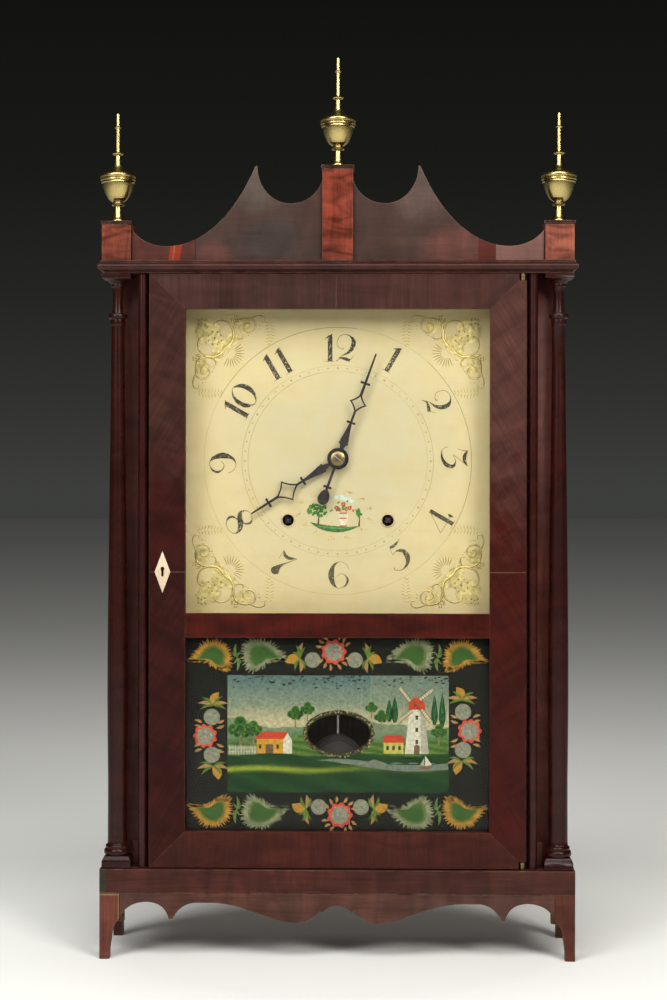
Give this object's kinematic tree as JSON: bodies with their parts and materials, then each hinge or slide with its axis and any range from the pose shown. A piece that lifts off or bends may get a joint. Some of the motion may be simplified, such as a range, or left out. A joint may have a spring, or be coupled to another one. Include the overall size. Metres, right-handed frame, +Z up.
{
  "type": "pillar and scroll shelf clock",
  "caption": "Veneered shelf clock with a scroll crest, turned pillars, a glazed door over a painted dial and tablet, and a weight-driven wooden movement with pendulum and strike.",
  "frame": {"origin": "on the supporting surface, under the centre of the base", "axes": "+Z up, the dial and door face -Y, +X to the right of someone facing the dial"},
  "size_m": [0.4322, 0.114, 0.8141],
  "materials": {
    "case_veneer": "old shellac over reddish mahogany veneer",
    "door_veneer": "diagonal cross-banded mahogany veneer, old shellac",
    "dark_veneer": "dark red-brown stained veneer, polished",
    "crest_veneer": "dark figured veneer, worn shellac",
    "plinth_veneer": "figured bright mahogany veneer",
    "turned_wood": "turned mahogany, polished",
    "pine": "bare aged pine",
    "oak": "bare oak",
    "cherry": "bare cherry",
    "old_brass": "cast and turned, lightly tarnished",
    "clear_glass": "old window glass",
    "painted_glass": "reverse-painted glass with a clear oval",
    "bone": "polished bone",
    "steel": "plain drawn wire and strip",
    "blued_iron": "blackened thin iron",
    "dial_paint": "oil-painted wooden dial with gilt scrolls",
    "bob_lead": "darkened brass-cased bob",
    "cast_iron": "rough casting",
    "cord": "twisted linen cord"
  },
  "bodies": {
    "case": {"deck_board": "case_veneer", "front_apron": "case_veneer", "base_side_left": "case_veneer", "base_side_right": "case_veneer", "case_side_left": "case_veneer", "case_side_right": "case_veneer", "front_stile_left": "dark_veneer", "front_stile_right": "dark_veneer", "back_board": "pine", "cornice": "dark_veneer", "scroll_board": "crest_veneer", "plinth_centre": "plinth_veneer", "plinth_left": "plinth_veneer", "plinth_right": "plinth_veneer", "finial_centre": "old_brass", "finial_left": "old_brass", "finial_right": "old_brass", "pillar_left": "turned_wood", "pillar_right": "turned_wood", "hinge_upper": "old_brass", "hinge_lower": "old_brass", "dial_board": "dial_paint", "front_plate": "oak", "back_plate": "oak", "bell": "cast_iron", "time_cord": "cord", "strike_cord": "cord", "time_cord_fall": "cord", "strike_cord_fall": "cord"},
    "door": {"door_stile_left": "door_veneer", "door_stile_right": "door_veneer", "door_top_rail": "door_veneer", "door_middle_rail": "door_veneer", "door_bottom_rail": "door_veneer", "dial_glass": "clear_glass", "tablet_glass": "painted_glass", "escutcheon": "bone"},
    "bolt": {"lock_bolt": "steel"},
    "minute_hand": {"minute_hand": "blued_iron"},
    "hour_hand": {"hour_hand": "blued_iron", "hour_wheel": "cherry"},
    "minute_wheel": {"minute_wheel": "cherry"},
    "escape_wheel": {"escape_wheel": "old_brass"},
    "third_arbor": {"third_arbor": "cherry"},
    "centre_arbor": {"centre_arbor": "cherry"},
    "second_arbor": {"second_arbor": "cherry"},
    "time_great_wheel": {"time_great_wheel": "cherry"},
    "verge": {"verge": "steel"},
    "pendulum": {"pendulum_rod": "steel", "pendulum_bob": "bob_lead"},
    "time_drum": {"time_drum": "cherry"},
    "time_pulley": {"time_pulley": "old_brass"},
    "time_weight": {"time_weight": "cast_iron"},
    "fly": {"fly": "cherry"},
    "strike_second_arbor": {"strike_second_arbor": "cherry"},
    "strike_great_wheel": {"strike_great_wheel": "cherry"},
    "strike_drum": {"strike_drum": "cherry"},
    "strike_pulley": {"strike_pulley": "old_brass"},
    "strike_weight": {"strike_weight": "cast_iron"},
    "hammer": {"hammer": "cast_iron"}
  },
  "joints": [
    {"name": "door_hinge", "type": "hinge", "parent": "case", "child": "door", "pos_m": [0.167, -0.048, 0.35], "axis": [0, 0, 1], "range_deg": [0, 105]},
    {"name": "bolt_slide", "type": "slide", "parent": "door", "child": "bolt", "axis": [-1, 0, 0], "range_m": [0, 0.006]},
    {"name": "minute_hand_turn", "type": "hinge", "parent": "case", "child": "minute_hand", "pos_m": [0, -0.03, 0.4514], "axis": [0, 1, 0], "continuous": true},
    {"name": "hour_hand_turn", "type": "hinge", "parent": "case", "child": "hour_hand", "pos_m": [0, -0.027, 0.4514], "axis": [0, 1, 0], "continuous": true},
    {"name": "minute_wheel_turn", "type": "hinge", "parent": "case", "child": "minute_wheel", "pos_m": [-0.014, -0.006, 0.43712], "axis": [0, 1, 0], "continuous": true},
    {"name": "escape_turn", "type": "hinge", "parent": "case", "child": "escape_wheel", "pos_m": [0, -0.0025, 0.4964], "axis": [0, 1, 0], "continuous": true},
    {"name": "third_arbor_turn", "type": "hinge", "parent": "case", "child": "third_arbor", "pos_m": [-0.02189, 0.01, 0.47474], "axis": [0, 1, 0], "continuous": true},
    {"name": "centre_arbor_turn", "type": "hinge", "parent": "case", "child": "centre_arbor", "pos_m": [0, 0.014, 0.4514], "axis": [0, 1, 0], "continuous": true},
    {"name": "second_arbor_turn", "type": "hinge", "parent": "case", "child": "second_arbor", "pos_m": [0.04164, 0.022, 0.44595], "axis": [0, 1, 0], "continuous": true},
    {"name": "time_great_turn", "type": "hinge", "parent": "case", "child": "time_great_wheel", "pos_m": [0.0456, 0.03, 0.3951], "axis": [0, 1, 0], "continuous": true},
    {"name": "pendulum_swing", "type": "hinge", "parent": "case", "child": "pendulum", "pos_m": [0, -0.0126, 0.5234], "axis": [0, 1, 0], "range_deg": [-4, 4]},
    {"name": "verge_rock", "type": "hinge", "parent": "case", "child": "verge", "pos_m": [0, -0.0035, 0.5234], "axis": [0, 1, 0], "range_deg": [-4, 4]},
    {"name": "time_weight_slide", "type": "slide", "parent": "case", "child": "time_weight", "axis": [0, 0, 1], "range_m": [0, 0.36], "deforming": ["time_cord_fall"]},
    {"name": "time_drum_turn", "type": "hinge", "parent": "case", "child": "time_drum", "pos_m": [0.0456, 0.016, 0.3951], "axis": [0, 1, 0], "range_deg": [0, 1960]},
    {"name": "time_pulley_turn", "type": "hinge", "parent": "case", "child": "time_pulley", "pos_m": [0.138, 0.016, 0.596], "axis": [0, 1, 0], "range_deg": [-1750, 0]},
    {"name": "fly_turn", "type": "hinge", "parent": "case", "child": "fly", "pos_m": [-0.06, 0.025, 0.47216], "axis": [0, 1, 0], "continuous": true},
    {"name": "strike_second_turn", "type": "hinge", "parent": "case", "child": "strike_second_arbor", "pos_m": [-0.04164, 0.03, 0.44595], "axis": [0, 1, 0], "continuous": true},
    {"name": "strike_great_turn", "type": "hinge", "parent": "case", "child": "strike_great_wheel", "pos_m": [-0.0456, 0.03, 0.3951], "axis": [0, 1, 0], "continuous": true},
    {"name": "strike_weight_slide", "type": "slide", "parent": "case", "child": "strike_weight", "axis": [0, 0, 1], "range_m": [0, 0.36], "deforming": ["strike_cord_fall"]},
    {"name": "strike_drum_turn", "type": "hinge", "parent": "case", "child": "strike_drum", "pos_m": [-0.0456, 0.016, 0.3951], "axis": [0, 1, 0], "range_deg": [-1960, 0]},
    {"name": "strike_pulley_turn", "type": "hinge", "parent": "case", "child": "strike_pulley", "pos_m": [-0.138, 0.016, 0.596], "axis": [0, 1, 0], "range_deg": [0, 1750]},
    {"name": "hammer_lift", "type": "hinge", "parent": "case", "child": "hammer", "pos_m": [-0.014, 0.025, 0.3654], "axis": [0, 1, 0], "range_deg": [0, 12]}
  ],
  "couplings": [
    {"joint": "minute_wheel_turn", "follows": "minute_hand_turn", "ratio": -0.33333},
    {"joint": "hour_hand_turn", "follows": "minute_hand_turn", "ratio": 0.083333},
    {"joint": "third_arbor_turn", "follows": "escape_turn", "ratio": -0.1},
    {"joint": "centre_arbor_turn", "follows": "escape_turn", "ratio": 0.011111},
    {"joint": "second_arbor_turn", "follows": "escape_turn", "ratio": -0.0055556},
    {"joint": "time_great_turn", "follows": "escape_turn", "ratio": 0.0022222},
    {"joint": "verge_rock", "follows": "pendulum_swing", "ratio": 1},
    {"joint": "time_drum_turn", "follows": "time_weight_slide", "rad_per_m": 94.34},
    {"joint": "time_pulley_turn", "follows": "time_weight_slide", "rad_per_m": -84.034},
    {"joint": "strike_second_turn", "follows": "fly_turn", "ratio": -0.11111},
    {"joint": "strike_great_turn", "follows": "fly_turn", "ratio": 0.044444},
    {"joint": "strike_drum_turn", "follows": "strike_weight_slide", "rad_per_m": -94.34},
    {"joint": "strike_pulley_turn", "follows": "strike_weight_slide", "rad_per_m": 84.034}
  ]
}
